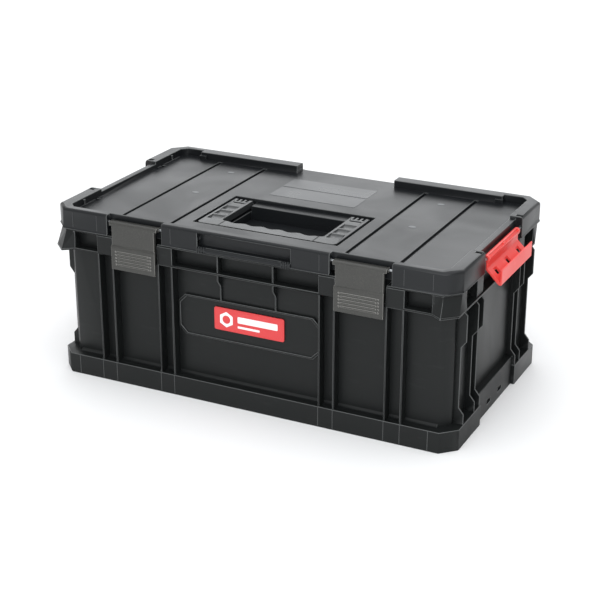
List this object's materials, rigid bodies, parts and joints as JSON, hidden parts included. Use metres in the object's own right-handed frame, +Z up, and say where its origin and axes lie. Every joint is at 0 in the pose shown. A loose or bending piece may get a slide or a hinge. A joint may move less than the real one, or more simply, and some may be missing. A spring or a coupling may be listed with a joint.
{
  "type": "stackable toolbox with tray",
  "caption": "Stackable moulded toolbox with hinged lid, folding top handle, two front latches, red side clips and a lift-out tray with two dividers.",
  "frame": {"origin": "centre of the footprint, on the floor under the base", "axes": "+X to the user's right along the long side, -Y to the front with the latches, +Z up"},
  "size_m": [0.555, 0.313, 0.216],
  "materials": {
    "box_plastic": "satin moulded polypropylene, near black",
    "lid_plastic": "satin moulded polypropylene, near black",
    "handle_plastic": "satin moulded polypropylene, near black",
    "tray_plastic": "satin moulded polypropylene, near black",
    "latch_plastic": "satin graphite grey",
    "red_plastic": "satin coral red",
    "steel": "drawn pin"
  },
  "bodies": {
    "box": {"box_body": "box_plastic", "badge": "red_plastic", "lid_hinge_pin_left": "steel", "lid_hinge_pin_middle": "steel", "lid_hinge_pin_right": "steel"},
    "lid": {"lid": "lid_plastic", "handle_pin_left": "steel", "handle_pin_right": "steel", "latch_pin_left": "steel", "latch_pin_right": "steel", "clip_pin_left": "steel", "clip_pin_right": "steel"},
    "handle": {"carry_handle": "handle_plastic"},
    "latch_left": {"latch_left": "latch_plastic"},
    "latch_right": {"latch_right": "latch_plastic"},
    "clip_left": {"clip_left": "red_plastic"},
    "clip_right": {"clip_right": "red_plastic"},
    "tray": {"tray": "tray_plastic", "tray_grip": "tray_plastic"},
    "divider_left": {"divider_left": "tray_plastic"},
    "divider_right": {"divider_right": "tray_plastic"}
  },
  "joints": [
    {"name": "lid_hinge", "type": "hinge", "parent": "box", "child": "lid", "pos_m": [0, 0.1523, 0.193], "axis": [-1, 0, 0], "range_deg": [0, 105]},
    {"name": "handle_hinge", "type": "hinge", "parent": "lid", "child": "handle", "pos_m": [0, 0.003, 0.199], "axis": [-1, 0, 0], "range_deg": [0, 95]},
    {"name": "latch_left_hinge", "type": "hinge", "parent": "lid", "child": "latch_left", "pos_m": [-0.146, -0.1423, 0.2068], "axis": [-1, 0, 0], "range_deg": [0, 100]},
    {"name": "latch_right_hinge", "type": "hinge", "parent": "lid", "child": "latch_right", "pos_m": [0.146, -0.1423, 0.2068], "axis": [-1, 0, 0], "range_deg": [0, 100]},
    {"name": "clip_left_hinge", "type": "hinge", "parent": "lid", "child": "clip_left", "pos_m": [-0.258, 0, 0.203], "axis": [0, 1, 0], "range_deg": [0, 170]},
    {"name": "clip_right_hinge", "type": "hinge", "parent": "lid", "child": "clip_right", "pos_m": [0.258, 0, 0.203], "axis": [0, -1, 0], "range_deg": [0, 170]},
    {"name": "tray_lift", "type": "slide", "parent": "box", "child": "tray", "axis": [0, 0, 1], "range_m": [0, 0.022]},
    {"name": "divider_left_lift", "type": "slide", "parent": "tray", "child": "divider_left", "axis": [0, 0, 1], "range_m": [0, 0.036]},
    {"name": "divider_right_lift", "type": "slide", "parent": "tray", "child": "divider_right", "axis": [0, 0, 1], "range_m": [0, 0.036]}
  ]
}
